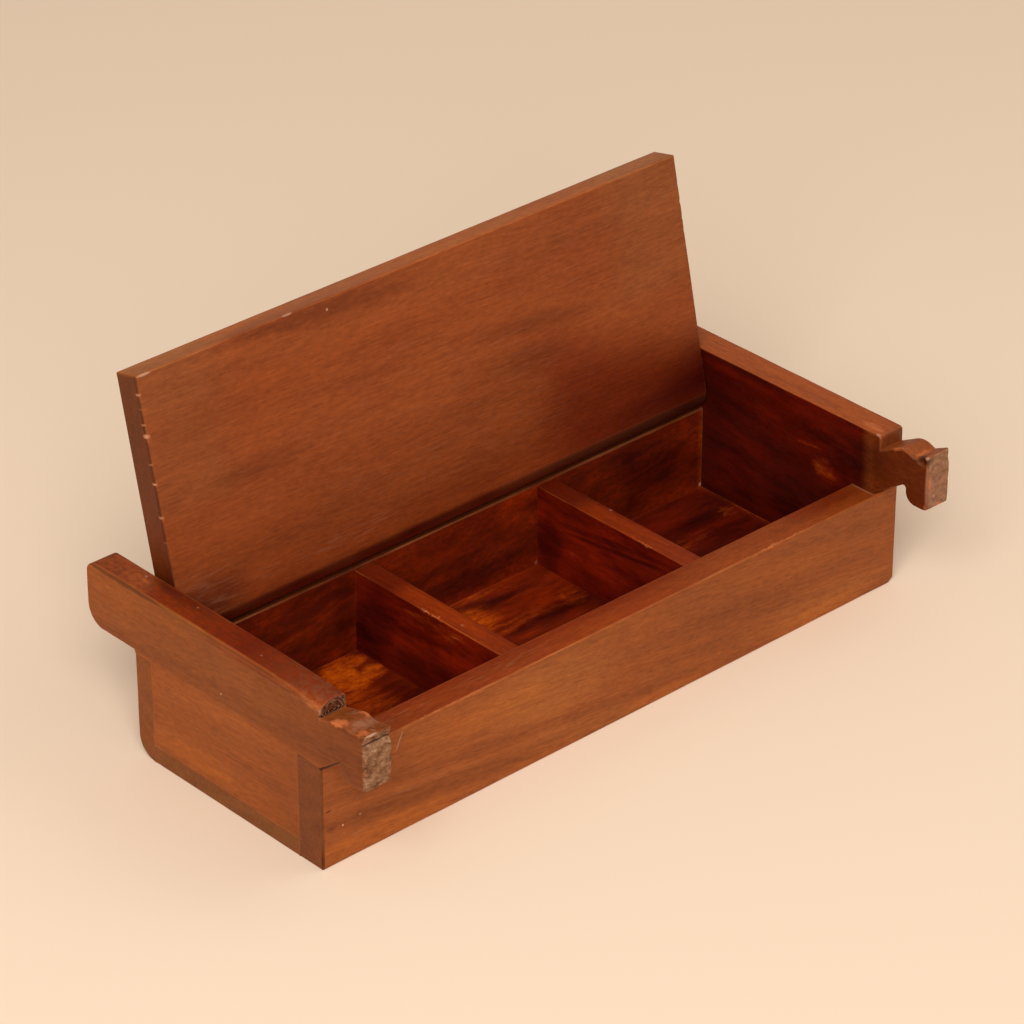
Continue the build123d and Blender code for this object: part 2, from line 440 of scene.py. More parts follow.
# How each kind of mark colours the wood: its tone, how it is blended, and how far the grain
# breaks it up.
# darker patches: the wood's own streaks, except inside the box, on the rails' inner faces and at the
# lid's lower left corner, where they are painted shade
MARK_KINDS = {"dark": ((0.42, 0.34, 0.36, 1), "MULTIPLY", 0.5),
              "deep": ((0.62, 0.33, 0.09, 1), "MULTIPLY", 0.3),
              # lighter patches: the wood's own tone on the outer faces, painted light inside the box and
              # on the rails' inner faces
              "warm_tone_and_lit_patch": ((1.50, 1.55, 1.10, 1), "MULTIPLY", 0.6),
              # lighter, greyer patches of painted sheen
              "painted_sheen": ((1.25, 1.45, 1.65, 1), "MULTIPLY", 0.3),
              "line": ((0.10, 0.07, 0.07, 1), "MULTIPLY", 0.0),
              "grey": ((0.27, 0.096, 0.046, 1), "MIX", 0.9),
              "scratch": ((0.32, 0.140, 0.075, 1), "MIX", 0.1),
              "nick": ((0.42, 0.170, 0.085, 1), "MIX", 0.6),
              "arcs": ((0.32, 0.140, 0.075, 1), "MIX", 0.0),
              # painted pools of light, in the tones below
              "lit_patch": (None, "MIX", 1.7),
              # bright orange marks, mostly along arrises and on the noses' humps: painted highlights
              "orange_highlight": ((0.47, 0.118, 0.030, 1), "MIX", 2.2),
              "pale": ((0.55, 0.33, 0.21, 1), "MIX", 0.0)}
RAGGED = 1                   # a mark that is broken up more than this has a torn outline
# Tones of the painted pools of light on the floors and inner faces of the bays.
LIT_PATCH_TONES = ((0.34, (0.15, 0.014, 0.0005)), (0.50, (0.41, 0.050, 0.0010)),
              (0.66, (0.68, 0.120, 0.0025)))
WORN_TONE = (0.46, 0.150, 0.040, 1)
BARE_TONES = ((0.30, (0.050, 0.024, 0.012)), (0.44, (0.18, 0.079, 0.034)),
              (0.60, (0.285, 0.142, 0.071)), (0.74, (0.44, 0.30, 0.20)))
ROUGHNESS = 0.40, 0.52       # of the oiled surface, from the densest grain to the loosest
SPECULAR = 0.17
BUMP_STRENGTH = 0.3
BUMP_DEPTH = 0.2 * MM


def stain_and_painted_light(tone, *climbs, blend="MULTIPLY", strength=1):
    """A coat over part of a board, where all its (direction, from, to) climbs in mm meet.

    A MIX is broken up by the grain and a RUB by small lumps. A SHADE is painted shade over the
    wood, with lighter and darker blotches of painted light and shade in it.
    """
    return tone, blend, strength, climbs


def hardwood(name, grain, cut, tilt=0.0, tint=(1, 1, 1), coats=(), marks=(), worn_share=0.22):
    """Oiled red-brown hardwood as a solid pattern, with growth rings, streaks, fibres and pores.

    grain is the axis that the fibres run along, tilt turns them across the board's face, and
    cut moves the pattern, so that each board comes from its own place in the log. coats are
    laid on in order: colours of the finish, painted shade and painted sheen. marks holds,
    under each kind, each mark's place and reach in mm, its strength and, where it leans, by
    how many degrees.
    """
    w = Wiring(name)
    spot = w.add("TexCoord", {}, "Object")
    turn = (0, radians(tilt), 0) if grain == X else (radians(tilt), 0, radians(90))
    along = w.add("Mapping", {"Vector": spot, "Location": cut, "Rotation": turn})
    wander = w.noise(w.stretch(along, (0.3, 1, 1)), 24, 1, result="Color")
    wander = w.vector("SUBTRACT", wander, (0.5, 0.5, 0.5))
    along = w.vector("ADD", along, w.stretch(wander, (0, 0.004, 0.004)))

    def figure(stretch, detail, roughness=0.5, scale=1):
        """Noise drawn out along the fibres."""
        return w.noise(w.stretch(along, stretch), scale, detail, roughness)

    radius = w.length(w.stretch(along, (0.08, 1, 1)))
    rings = w.add("TexNoise", {"W": radius, "Scale": 210, "Detail": 3, "Roughness": 0.65},
                  noise_dimensions="1D")
    streaks = figure((9, 130, 130), 2, 0.55)
    fibres = figure((110, 1300, 1300), 2, 0.55)
    pores = w.span(figure((210, 1700, 1700), 1), 0.58, 0.70)
    clouds = figure((0.35, 1, 1), 3, 0.6, scale=45)
    flecks = figure((0.5, 1, 1), 2, 0.7, scale=620)
    total = None
    for part, share in ((rings, 0.22), (streaks, 0.22), (fibres, 0.42), (clouds, 0.30),
                        (flecks, 0.34)):
        swing = w.times(w.minus(part, 0.5), share)
        total = swing if total is None else w.plus(total, swing)
    total = w.plus(total, 0.5)
    tone = w.ramp(total, [(place, tinted(colour, tint)) for place, colour in WOOD_TONES])
    tone = w.mix(w.times(pores, 0.15), tone, PORE_TINT, "MULTIPLY")

    facing = w.stretch(w.add("TexCoord", {}, "Normal"), (0, 1, 0) if grain == Y else (1, 0, 0))
    end_grain = w.span(w.length(facing), 0.55, 0.8)
    tone = w.mix(end_grain, tone, END_GRAIN_TINT, "MULTIPLY")

    rough = w.span(clouds, 0.3, 0.7, *ROUGHNESS)
    ragged = w.minus(figure((70, 330, 330), 4, 0.65), 0.5)
    blotch = figure((28, 90, 90), 4, 0.62)
    lumps = w.noise(w.stretch(spot, (1, 1, 1.6)), 330, 4, 0.72)
    for colour, blend, strength, climbs in coats:
        share = strength
        for direction, start, end in climbs:
            level = w.add("VectorMath", {0: spot, 1: direction}, "Value", operation="DOT_PRODUCT")
            share = w.times(w.span(level, start * MM, end * MM), share)
        if blend == "MIX":
            share = w.times(share, w.span(blotch, 0.42, 0.60))
        if blend == "RUB":
            share = w.times(share, w.span(lumps, 0.43, 0.62))
            blend = "MIX"
        if blend == "SHADE":
            lighter = w.times(share, w.span(blotch, 0.48, 0.66, 0.0, 0.8))
            darker = w.times(share, w.span(blotch, 0.50, 0.34, 0.0, 0.9))
            tone = w.mix(lighter, tone, LIGHTER_BLOTCH, "MULTIPLY")
            tone = w.mix(darker, tone, DARKER_BLOTCH, "MULTIPLY")
            blend = "MULTIPLY"
        tone = w.mix(share, tone, (*colour, 1), blend)

    worn = w.add("Attribute", {}, "Fac", attribute_name="worn")
    patchy = w.span(w.plus(worn, w.times(clouds, 1.1)), 1.3, 1.75)
    tone = w.mix(w.times(patchy, worn_share), tone, WORN_TONE)
    bare = w.add("Attribute", {}, "Fac", attribute_name="bare")
    shown = w.span(w.plus(bare, w.minus(lumps, 0.5)), 0.3, 0.7)
    tone = w.mix(w.times(shown, 0.9), tone, w.ramp(lumps, BARE_TONES))

    warp = w.vector("SUBTRACT", w.noise(spot, 420, 3, 0.6, "Color"), (0.5, 0.5, 0.5))
    lit_patch_tone = w.ramp(w.plus(w.times(blotch, 0.6), w.times(flecks, 0.4)), LIT_PATCH_TONES)
    for kind, (colour, blend, breakup) in MARK_KINDS.items():
        if kind not in marks:
            continue
        here = spot
        if breakup > RAGGED:
            here = w.vector("ADD", spot, w.stretch(warp, (breakup * 2 * MM,) * 3))
        share = None
        for place, reach, strength, *lean in marks[kind]:
            values = {"Vector": here, "Location": tuple(v * MM for v in place),
                      "Scale": tuple(v * MM for v in reach)}
            if lean:
                angle = radians(lean[0])
                values["Rotation"] = (0, angle, 0) if grain == X else (angle, 0, 0)
            away = w.length(w.add("Mapping", values, vector_type="TEXTURE"))
            patch = w.span(away, 1.25, 0.35 if breakup else 0.75, 0.0, strength)
            if kind == "arcs":
                away = w.plus(away, w.times(lumps, 0.35))
                patch = w.times(patch, w.span(w.math("SINE", w.times(away, 32)), 0.0, 1.0))
            share = patch if share is None else w.math("MAXIMUM", share, patch)
        if breakup > RAGGED:
            edge = w.plus(share, w.times(ragged, breakup))
            share = w.times(w.span(edge, 0.16, 1.15), w.span(share, 0.02, 0.2))
        elif kind == "scratch":
            share = w.times(share, w.span(figure((90, 1000, 1000), 2, 0.6), 0.48, 0.70))
        elif kind == "grey":
            share = w.times(share, w.span(lumps, 0.30, 0.62))
        elif breakup:
            share = w.times(share, w.plus(w.times(ragged, 3.5 * breakup), 1.0), clamp=True)
        tone = w.mix(share, tone, colour or lit_patch_tone, blend)
    w.feed(w.surface.inputs["Base Color"], tone)

    rough = w.plus(rough, w.times(pores, 0.10))
    rough = w.plus(rough, w.times(shown, 0.35), clamp=True)
    w.feed(w.surface.inputs["Roughness"], rough)
    w.surface.inputs["Specular IOR Level"].default_value = SPECULAR
    height = w.minus(w.times(fibres, 0.6), w.times(pores, 0.5))
    height = w.plus(height, w.times(flecks, 0.5))
    height = w.plus(height, w.times(w.times(lumps, shown), 3.0))
    w.feed(w.surface.inputs["Normal"],
           w.add("Bump", {"Height": height, "Strength": BUMP_STRENGTH, "Distance": BUMP_DEPTH}))
    return w.material


RIGHT, LEFT, BACK, AHEAD, UP, DOWN = ((1, 0, 0), (-1, 0, 0), (0, 1, 0), (0, -1, 0), (0, 0, 1),
                                      (0, 0, -1))
SHADED = (0.45, 0.130, 0.006)     # painted shade inside the bays, over varnish that has darkened there
BETWEEN_ENDS = ((RIGHT, -137.4, -137.0), (LEFT, -137.4, -137.0))
BELOW_RIM = (DOWN, -44.2, -43.7)
FRONT_TOP = (UP, 44.15, 44.4)
BOX_END = 150 * MM
FOOT_ROUND = 4.0 * MM        # the front board's lower right corner is knocked round
FOOT_HEIGHT = 1.6 * FOOT_ROUND
FOOT_LIFT = 0.85


def reshape(piece, change):
    """Moves each of a piece's points by change(point)."""
    for v in piece.data.vertices:
        v.co += change(v.co)
    piece.data.update()


def knocked_corner(point):
    """Lifts the lower right corner of the front board to a quarter round."""
    run = point.x - (BOX_END - FOOT_ROUND)
    if run <= 0 or point.z > FOOT_HEIGHT:
        return Vector()
    lift = FOOT_ROUND - sqrt(max(0.0, FOOT_ROUND ** 2 - run ** 2))
    return Vector((0, 0, FOOT_LIFT * lift * (1 - point.z / FOOT_HEIGHT)))


front = worked_board("front_board", X, gap=2 * MM, run_gap=1.5 * MM,
                     worn=wear("front_board", base=0.6 * MM))
reshape(front, knocked_corner)
settle(front, "front_board", "case", hardwood(
    "front_wood", X, cut=(0.31, 0.075, 0.052), tilt=-6, tint=(1.0, 1.11, 1.12),
    coats=[
        stain_and_painted_light(SHADED, (BACK, -40.95, -40.75), BELOW_RIM, *BETWEEN_ENDS, blend="SHADE"),
        stain_and_painted_light((0.9, 0.66, 0.4), FRONT_TOP),
        stain_and_painted_light((0.93, 0.74, 0.55), FRONT_TOP, (LEFT, -50, -10), (RIGHT, -130, -95)),
        stain_and_painted_light((0.88, 0.72, 0.5), FRONT_TOP, (BACK, -46.5, -43), (LEFT, -60, -30)),
        stain_and_painted_light((1.16, 1.16, 1.15), FRONT_TOP, (AHEAD, 48, 50.5), (RIGHT, -80, -60), (LEFT, -122, -100)),
        stain_and_painted_light((0.24, 0.17, 0.16), (LEFT, 148.8, 149.3), (AHEAD, 52.8, 53.2), strength=0.9),
        stain_and_painted_light((0.52, 0.15, 0.035), (UP, 44, 44.25), (AHEAD, 53.05, 53.35), blend="MIX", strength=0.35)],
    marks={
        "dark": [
            ((-96, -53.6, 11.5), (62, 8, 5), 0.26, 6.3), ((-30, -53.6, 7), (40, 8, 3), 0.22, 5),
            ((62, -53.6, 25), (40, 8, 3.5), 0.12, 6), ((95, -53.6, 14), (30, 8, 4), 0.12, 6),
            ((-40, -53.6, 28), (46, 8, 3), 0.18, 6), ((-147, -53.6, 24.3), (1.8, 1, 0.6), 0.9),
            ((-145.5, -53.6, 16.2), (3.4, 1, 1.1), 0.6, 8)],
        "scratch": [
            ((-133.5, -53.6, 8.4), (4, 1, 1.4), 0.6), ((-111, -53.6, 17), (7, 1, 1.6), 0.5),
            ((-95, -53.6, 17), (8, 1, 1.6), 0.5), ((-58, -47, 44.5), (26, 6, 2), 0.22),
            ((-112, -46, 44.5), (24, 6, 2), 0.22)],
        # A line of painted shadow under the left nose's hook, where it overlaps the front board.
        "line": [((-145.2, -53.6, 44), (6.2, 1.2, 0.9), 0.8)],
        "warm_tone_and_lit_patch": [
            ((-118, -53.6, 4), (44, 8, 6), 0.55, 4), ((-70, -53.6, 33), (40, 8, 6), 0.3, 6),
            ((26, -53.6, 2.5), (26, 8, 3), 0.5), ((110, -53.6, 4), (30, 8, 4), 0.4)],
        "painted_sheen": [
            ((-38, -53.6, 30), (38, 8, 15), 0.8, 6), ((-22, -53.6, 6), (36, 8, 6), 0.6, 6),
            ((108, -53.6, 8), (42, 8, 9), 0.6, 4)],
        "deep": [((118, -42, 44.5), (24, 8, 6), 0.8)],
        "orange_highlight": [((-88, -53.4, 44.3), (24, 0.7, 0.7), 0.5), ((84, -53.4, 44.3), (24, 0.7, 0.7), 0.6)],
        "pale": [
            ((136.9, -47.5, 44.5), (0.5, 6, 0.8), 0.17),
            ((-112.6, -53.6, 39.5), (0.35, 1.5, 4.2), 0.3, 25),
            ((-140.1, -53.6, 15.5), (0.45, 1, 0.45), 0.7),
            ((-131.9, -53.6, 16.6), (0.4, 1, 0.35), 0.5)]}))

# --- Back board -----------------------------------------------------------------------------
# A thinner plank of the same hardwood, glued along the back, with its lower outer arris planed
# to a wide round from end to end. The lid's rounded edge turns just above its top.
BACK_INSIDE = (AHEAD, -43.35, -43.15)
BACK_RIM = ((AHEAD, -43.6, -43.4), (UP, 43.9, 44.1))
LEFT_FACE = (LEFT, 149.2, 149.6)
back = worked_board("back_board", X, gap=2 * MM, run_gap=1.5 * MM,
                    worn=wear("back_board", base=0.5 * MM))
settle(back, "back_board", "case", hardwood(
    "back_wood", X, cut=(0.52, -0.115, 0.071), tilt=5, tint=(1.10, 1.20, 1.12),
    coats=[
        stain_and_painted_light(SHADED, BACK_INSIDE, BELOW_RIM, *BETWEEN_ENDS, blend="SHADE"),
        # Painted shade on the back board's top, under the lid's round.
        stain_and_painted_light((0.35, 0.26, 0.2), (BACK, 43.3, 43.6), (UP, 44, 44.3), *BETWEEN_ENDS),
        stain_and_painted_light((0.52, 0.46, 0.55), *BACK_RIM, *BETWEEN_ENDS),
        stain_and_painted_light((0.47, 0.28, 0.07), *BACK_RIM, (RIGHT, -110, 60), *BETWEEN_ENDS),
        stain_and_painted_light((0.15, 0.065, 0.028), (AHEAD, -43.6, -43.35), (UP, 44, 44.25), (LEFT, -60, 60),
              *BETWEEN_ENDS, blend="MIX", strength=0.35),
        stain_and_painted_light((0.6, 0.38, 0.3), *BACK_RIM, (RIGHT, 33, 45), *BETWEEN_ENDS),
        stain_and_painted_light((0.6, 0.38, 0.3), *BACK_RIM, (LEFT, 28, 40), (RIGHT, -104, -92)),
        stain_and_painted_light((0.05, 0.006, 0.0004), BACK_INSIDE, BELOW_RIM, *BETWEEN_ENDS, blend="RUB",
              strength=0.45),
        stain_and_painted_light((1.45, 2.2, 1.6), (RIGHT, 134.4, 136.4), BACK_INSIDE, (DOWN, -44, -42.8),
              (LEFT, -137.4, -137)),
        stain_and_painted_light((1.15, 1.26, 1.22), LEFT_FACE)],
    marks={
        "dark": [
            ((-100, 43.1, 18), (20, 3, 8), 0.45), ((10, 43.1, 15), (32, 3, 7), 0.8),
            ((105, 43.1, 30), (26, 3, 12), 0.9), ((-56, 43.1, 26), (6, 3, 22), 0.6)],
        "warm_tone_and_lit_patch": [
            ((35, 43.1, 38), (11, 3, 9), 0.9), ((-82, 43.1, 30), (30, 3, 11), 0.6),
            ((-20, 43.1, 30), (20, 3, 8), 0.5)],
        "pale": [((44.8, 43.1, 8.6), (0.9, 2, 0.9), 0.15), ((136.9, 43.1, 8.8), (0.9, 2, 0.9), 0.5)]}))

# --- Bottom board ---------------------------------------------------------------------------
# A thin wide board of the same hardwood, glued between the front and back boards. Its top is
# the floor of the bays, darkened with painted shade and brightened by painted pools of light.
FLOOR_TOP = (UP, 7.3, 7.5)
bottom = worked_board("bottom_board", X, gap=3 * MM, run_gap=3 * MM,
                      worn=wear("bottom_board", base=0.5 * MM))
settle(bottom, "bottom_board", "case", hardwood(
    "bottom_wood", X, cut=(0.12, 0.09, 0.33), tint=(1.05, 1.17, 1.14),
    coats=[
        stain_and_painted_light(SHADED, FLOOR_TOP, *BETWEEN_ENDS, blend="SHADE"),
        stain_and_painted_light((0.76, 0.56, 0.36), FLOOR_TOP, (RIGHT, 50, 54)),
        stain_and_painted_light((1.3, 1.7, 1.3), FLOOR_TOP, (BACK, 41, 42.8)),
        stain_and_painted_light((1.35, 1.9, 1.3), FLOOR_TOP, (RIGHT, 134, 136.6)),
        stain_and_painted_light((1.1, 1.3, 1.3), LEFT_FACE)],
    marks={
        "dark": [
            ((-90, 12, 7.6), (14, 5, 3), 0.7), ((10, 33, 7.6), (26, 2.5, 3), 0.9),
            ((22, 10, 7.6), (24, 4, 3), 0.8), ((120, 24, 7.6), (20, 4, 3), 0.7)],
        "warm_tone_and_lit_patch": [
            ((-72, 10, 7.6), (20, 22, 3), 1), ((10, 20, 7.6), (34, 18, 3), 1),
            ((112, 15, 7.6), (18, 5, 3), 0.9)],
        # Painted pools of light on the floor.
        "lit_patch": [
            ((-67, 30, 7.6), (9, 13, 3), 1.5), ((-56, 27, 7.6), (9, 6, 3), 0.9),
            ((-72, 8, 7.6), (14, 20, 3), 0.75), ((-59, 38, 7.6), (9, 6, 3), 1.1),
            ((-9, 27, 7.6), (22, 14, 3), 0.8), ((39, 16, 7.6), (8, 8, 3), 0.5),
            ((8, 40.5, 7.6), (24, 2.6, 3), 0.4), ((10, 16, 7.6), (26, 6, 3), 0.45),
            ((131, 20, 7.6), (5, 6, 3), 0.45), ((136.7, 14, 7.6), (0.7, 14, 3), 0.5),
            ((104, 14, 7.6), (16, 7, 3), 0.3), ((82, 27, 7.6), (9, 10, 3), 0.35)]}))

# --- End boards -----------------------------------------------------------------------------
# Each is sawn and carved from one thick board of hardwood with the grain along the rail. The
# stem below the rail is glued into the box's end, and the rail ends in a lobe behind and in a
# hooked nose in front, whose end grain is left rough from the chisel.
PIVOT = Vector((0, 0.0457, 0.0507))
BORE_SIDES = 48
RAIL_BORE = 2.55 * MM        # the pins turn freely in the rails
RAIL_BORE_ENDS = 136.2 * MM, 145.6 * MM
RAIL_TOP = (UP, 70.6, 71.2)
RIDGE_RATE = 260             # ridges of chopped end grain to the metre across a board
RIDGE_RATE_UP = 620          # and up it
GRIT_RATE = 1500
CHOP = 0.45                  # how deep the chopped grain lies, as a share of its full depth
RIDGE_SHARE = 0.8            # and how far the ridges and the grit raise or deepen it
GRIT_SHARE = 0.45
RAIL_MIDDLE = -142.6         # mm, half way across the left rail
RAIL_HALF = 7.4
DOME_FRONT = -54.2           # mm, its domed top runs from here
DOME_BACK = -18              # back to here, and is full this far in front of that
DOME_RUN = 32
DOME_FOOT = 66.5
DOME_HEIGHT = 5.1
INNER_DROP = 1.9             # mm that its inner and outer arrises lie below its middle
OUTER_DROP = 3.1
FLAT_WIDTH = 0.9 * MM        # its worn outer arris narrows from this at the front
FLAT_BACK = 45               # to nothing here, over this run, in mm
FLAT_RUN = 60
FLAT_SIDE = -143 * MM        # that arris lies outside this, above the next and behind the last
FLAT_FOOT = 70 * MM
FLAT_FRONT = -52 * MM
NOTCH_FOOT = 67 * MM         # the notch in the right nose's outline lies between these heights,
NOTCH_TOP = 69.5 * MM
NOTCH_BACK = -77.5 * MM      # in front of this, and is filled out to here
NOTCH_TRACE = -79.6 * MM


def drill(piece, centre, radius, start, end):
    """Cuts a round hole along X from start to end."""
    shape = bmesh.new()
    bmesh.ops.create_cone(shape, cap_ends=True, segments=BORE_SIDES, radius1=radius, radius2=radius,
                          depth=abs(end - start))
    tool_mesh = bpy.data.meshes.new("drill")
    for v in shape.verts:
        v.co = Vector(((start + end) / 2 + v.co.z, centre.y + v.co.x, centre.z + v.co.y))
    shape.to_mesh(tool_mesh)
    shape.free()
    tool = placed("drill", tool_mesh)
    cut = piece.modifiers.new("bore", "BOOLEAN")
    cut.object = tool
    cut.operation = "DIFFERENCE"
    cut.solver = "EXACT"
    result = bpy.data.meshes.new_from_object(piece.evaluated_get(
        bpy.context.evaluated_depsgraph_get()))
    piece.modifiers.remove(cut)
    piece.data = result
    bpy.data.objects.remove(tool)


def carve(piece, dents, rough_at, rough_depth):
    """Presses dents into a board and roughens it, always inwards.

    Each dent is a place and reach in mm, the direction and depth in mm that it is pressed, and
    how bare it leaves the wood. rough_at(places) says how rough each place is, from 0 to 1.
    """
    mesh = piece.data
    spots = np.array([v.co for v in mesh.vertices], float)
    normals = np.array([v.normal for v in mesh.vertices], float)
    bare = np.zeros(len(spots))
    rough = rough_at(spots / MM)
    moved = spots.copy()
    for i in np.nonzero(rough > 0.01)[0]:
        place = Vector(spots[i])
        ridges = noise.noise(Vector((place.x * RIDGE_RATE, place.y * RIDGE_RATE,
                                     place.z * RIDGE_RATE_UP)))
        grit = noise.noise(place * GRIT_RATE)
        press = max(0.0, CHOP + RIDGE_SHARE * ridges + GRIT_SHARE * grit)
        moved[i] -= normals[i] * rough[i] * rough_depth * MM * press
        bare[i] = rough[i]
    for place, reach, direction, depth, left_bare in dents:
        offset = (spots / MM - place) / reach
        share = np.exp(-(offset ** 2).sum(axis=1))
        moved += np.outer(share, direction) * depth * MM
        bare = np.maximum(bare, share * left_bare)
    mesh.vertices.foreach_set("co", moved.ravel())
    mesh.attributes["bare"].data.foreach_set("value", bare.astype(np.float32))
    mesh.update()


def climb(values, start, end):
    """A smooth climb from 0 at start to 1 at end."""
    share = np.clip((values - start) / (end - start), 0, 1)
    return share * share * (3 - 2 * share)


def left_roughness(spots):
    """The chopped end grain of the left nose's tip, and of its step, in mm."""
    tip = climb(-spots[:, Y], 77.2, 78.0)
    notch = climb(-spots[:, Y], 76.4, 76.8) * climb(-spots[:, Z], -67.4, -66.8)
    step = (climb(-spots[:, Y], 53.2, 53.6) * climb(spots[:, Y], -54.2, -53.8)
            * climb(spots[:, Z], 65.6, 66.2))
    hump = (climb(-spots[:, Y], 56.0, 58.0) * climb(spots[:, Z], 66.0, 66.8)
            * climb(spots[:, X], -149.4, -148.4))
    tip *= 1 - 0.45 * climb(spots[:, Z], 65.4, 66.4)
    return np.maximum(np.maximum(tip, notch), np.maximum(0.3 * step, 0.34 * hump))


def right_roughness(spots):
    """The cleaner end grain of the right nose's tip, in mm."""
    return 0.7 * climb(-spots[:, Y], 78.8, 79.4) * climb(spots[:, X], 137.6, 138.6)


left_dents = [
    ((-149.8, -78.6, 62.6), (2.4, 1.8, 1.8), (0.75, 0.65, -0.2), 1.7, 0.8),
    ((-149.6, -78.6, 56), (1.6, 1.4, 1.6), (0.8, 0.6, 0), 1, 1),
    ((-149.8, -78.6, 50.6), (1.8, 1.6, 1.6), (0.8, 0.6, 0), 1.4, 1),
    ((-146.4, -78.6, 53), (1.7, 1.2, 1.5), (0, 1, 0), 1.1, 1),
    ((-142.2, -78.6, 58.4), (1.6, 1.2, 1.4), (0, 1, 0), 0.9, 1),
    ((-145.9, -78.6, 61.6), (1.2, 1.2, 1), (0, 1, 0), 0.7, 1),
    ((-139.6, -78.6, 62), (1.4, 1.2, 1.6), (0, 1, 0), 0.9, 1),
    ((-140, -78.6, 50.6), (1.8, 1.2, 1.8), (0, 1, 0), 0.9, 1),
    ((-144.5, -78.6, 46.6), (2.2, 1.4, 1), (0, 0.7, 0.7), 0.9, 1),
    ((-137.4, -78.6, 47), (1.4, 1.4, 2.2), (-0.7, 0.7, 0.3), 1.3, 1),
    ((-149.9, -78, 67.4), (1.6, 1.6, 1), (0.8, 0.2, 0), 1.2, 0.6),
    ((-149.9, -64, 68.4), (1.2, 3.4, 1.4), (0.7, 0, -0.7), 0.8, 0),
    ((-149.9, -72, 68), (1.2, 3, 1.4), (0.7, 0, -0.7), 0.8, 0),
    ((-137.2, -69, 68.4), (1, 2, 1.2), (-0.7, 0, -0.7), 0.6, 0)]
right_dents = [
    ((137.2, -76.8, 69.6), (1.5, 2.8, 1.6), (0.75, 0, -0.65), 1.8, 0),
    ((137.2, -55.2, 71.6), (1.4, 1.6, 1), (0.5, 0.4, -0.7), 0.5, 0.3),
    ((137.4, -80.2, 49.5), (1.6, 1.4, 2), (0.7, 0.7, 0), 0.6, 0)]


def left_rail_wear(place):
    """The left rail's outer top arris is worn to a flat that widens towards the front."""
    if place.x > FLAT_SIDE or place.z < FLAT_FOOT or place.y < FLAT_FRONT:
        return 0.0
    return FLAT_WIDTH * max(0.0, min(1.0, (FLAT_BACK - place.y / MM) / FLAT_RUN))


def domed_step(point):
    """Lowers the left rail's top to a dome, fuller inside than outside, above the step."""
    y, z = point.y / MM, point.z / MM
    if z < DOME_FOOT or not DOME_FRONT < y < DOME_BACK:
        return Vector()
    across = (point.x / MM - RAIL_MIDDLE) / RAIL_HALF
    drop = (INNER_DROP if across > 0 else OUTER_DROP) * across ** 2
    near = max(0.0, min(1.0, (DOME_BACK - y) / DOME_RUN)) ** 2
    return Vector((0, 0, -drop * near * (z - DOME_FOOT) / DOME_HEIGHT * MM))


def shallow_notch(outline):
    """The right nose's outline, whose end has only a trace of the notch below its tip."""
    return [Vector((NOTCH_TRACE, p.y)) if p.x < NOTCH_BACK and NOTCH_FOOT < p.y < NOTCH_TOP else p
            for p in outline]


